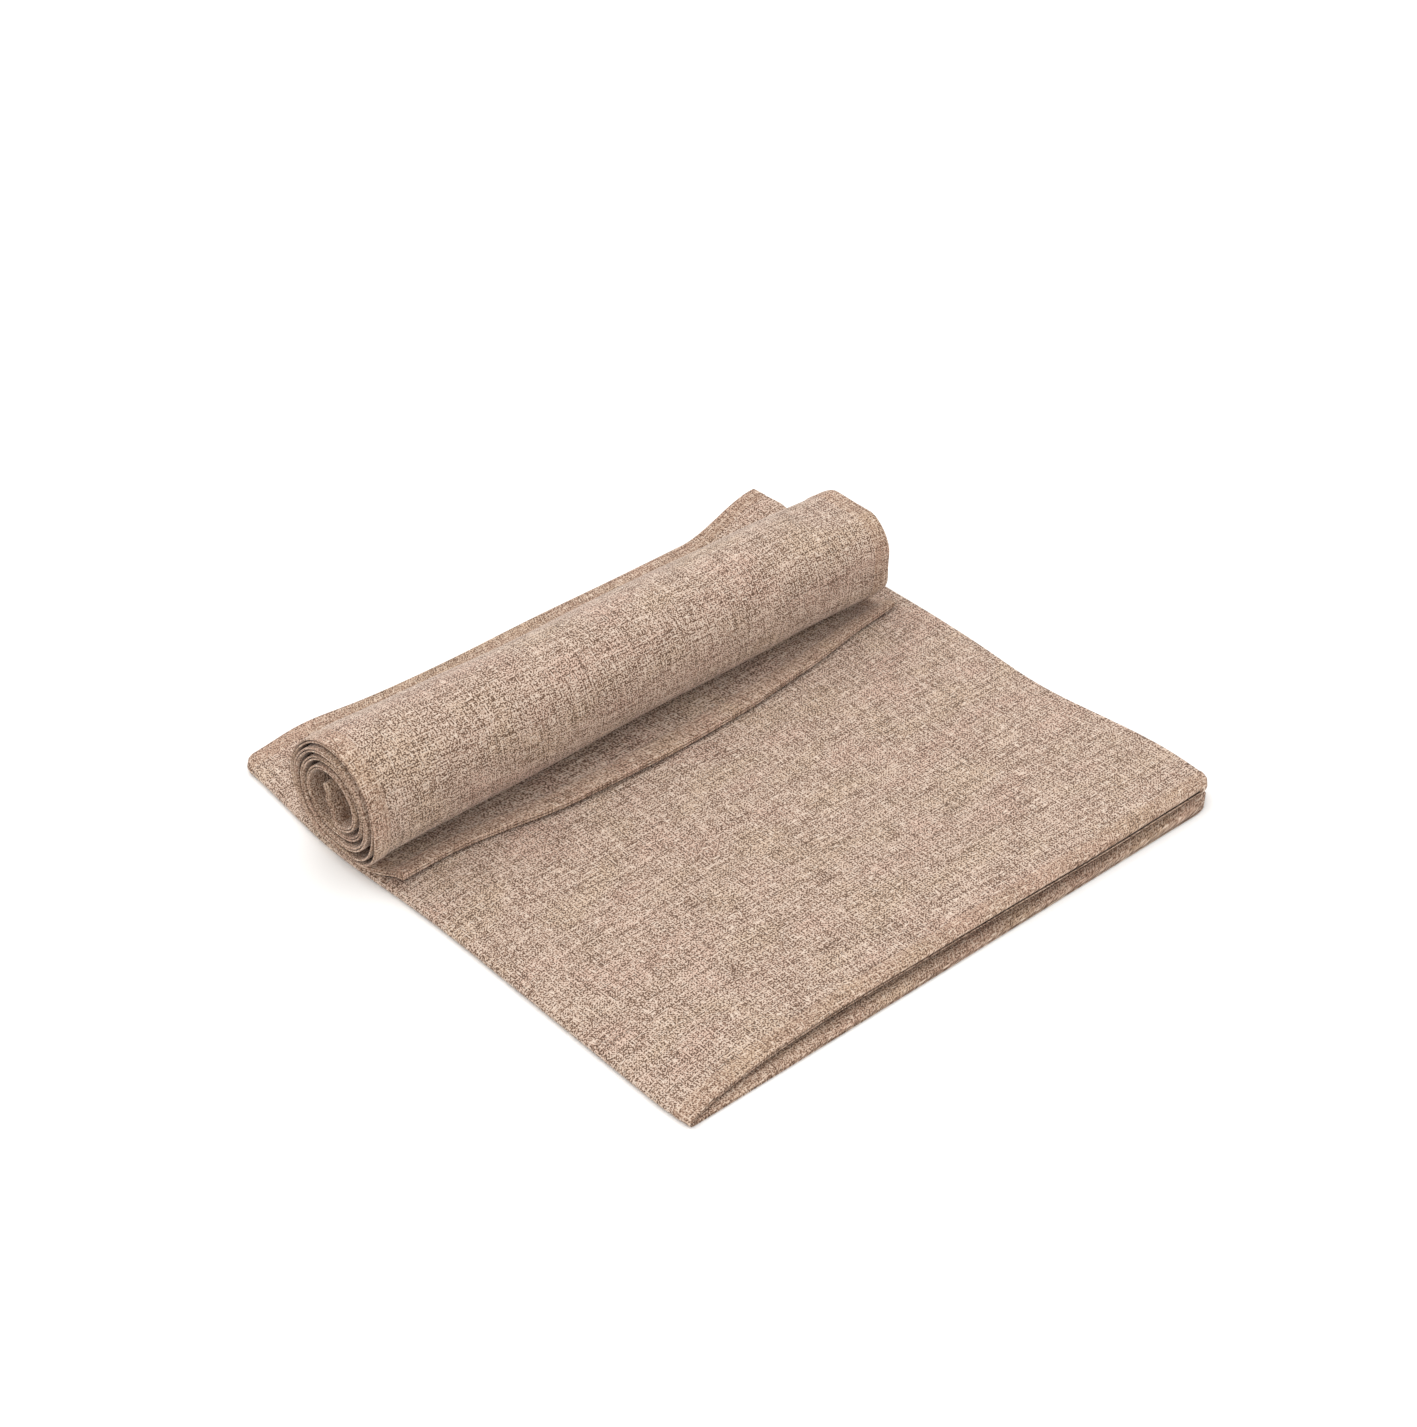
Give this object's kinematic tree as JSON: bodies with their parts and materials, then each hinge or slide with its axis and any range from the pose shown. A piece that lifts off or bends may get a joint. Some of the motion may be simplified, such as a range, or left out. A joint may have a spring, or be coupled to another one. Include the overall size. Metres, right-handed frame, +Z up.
{
  "type": "table runner",
  "caption": "Linen table runners laid as a set: one folded flat in four layers, and a second rolled up and resting on it with its hemmed end out in front.",
  "frame": {"origin": "middle of the set's outline, on the surface that it lies on", "axes": "+X from the double fold towards the open ends, parallel to the roll; +Y across the cloth from the front edge to the back edge; +Z up"},
  "size_m": [0.42, 0.4, 0.0872],
  "materials": {
    "woven_linen": "plain-woven linen in a warm taupe, with lighter slubs",
    "hemmed_linen": "the same linen, turned over twice and pressed",
    "sewing_thread": "matt sewing thread, matched to the cloth"
  },
  "bodies": {
    "lower_half": {"bottom_layer": "woven_linen", "bottom_layer_back_hem": "hemmed_linen", "bottom_layer_end_hem": "hemmed_linen", "bottom_layer_front_hem": "hemmed_linen", "bottom_layer_stitching": "sewing_thread", "inner_fold": "woven_linen", "outer_fold": "woven_linen", "second_layer": "woven_linen", "second_layer_back_hem": "hemmed_linen", "second_layer_end_hem": "hemmed_linen", "second_layer_front_hem": "hemmed_linen", "second_layer_stitching": "sewing_thread"},
    "upper_half": {"return_fold": "woven_linen", "third_layer": "woven_linen", "third_layer_back_hem": "hemmed_linen", "third_layer_front_hem": "hemmed_linen", "third_layer_stitching": "sewing_thread", "top_layer": "woven_linen", "top_layer_back_hem": "hemmed_linen", "top_layer_front_hem": "hemmed_linen", "top_layer_stitching": "sewing_thread"},
    "rolled_runner": {"roll_core_fold": "woven_linen", "roll_core_tongue": "woven_linen", "roll_turn_1": "woven_linen", "roll_turn_1_left_hem": "hemmed_linen", "roll_turn_1_right_hem": "hemmed_linen", "roll_turn_2": "woven_linen", "roll_turn_2_left_hem": "hemmed_linen", "roll_turn_2_right_hem": "hemmed_linen", "roll_turn_3": "woven_linen", "roll_turn_3_left_hem": "hemmed_linen", "roll_turn_3_right_hem": "hemmed_linen", "roll_turn_4": "woven_linen", "roll_turn_4_left_hem": "hemmed_linen", "roll_turn_4_right_hem": "hemmed_linen"},
    "loose_end": {"loose_end_lower_hem": "hemmed_linen", "loose_end_lower_ply": "woven_linen", "loose_end_stitching": "sewing_thread", "loose_end_upper_hem": "hemmed_linen", "loose_end_upper_ply": "woven_linen"}
  },
  "joints": [
    {"name": "leaf_lift", "type": "hinge", "parent": "lower_half", "child": "upper_half", "pos_m": [-0.1974, 0, 0.0029], "axis": [0, -1, 0], "range_deg": [0, 35]},
    {"name": "roll_lift", "type": "slide", "parent": "upper_half", "child": "rolled_runner", "axis": [0, 0, 1], "range_m": [0, 0.12]},
    {"name": "loose_end_lift", "type": "hinge", "parent": "rolled_runner", "child": "loose_end", "pos_m": [-0.19742, 0.062, 0.0076], "axis": [-0.9999, 0, -0.0113], "range_deg": [0, 60]}
  ]
}
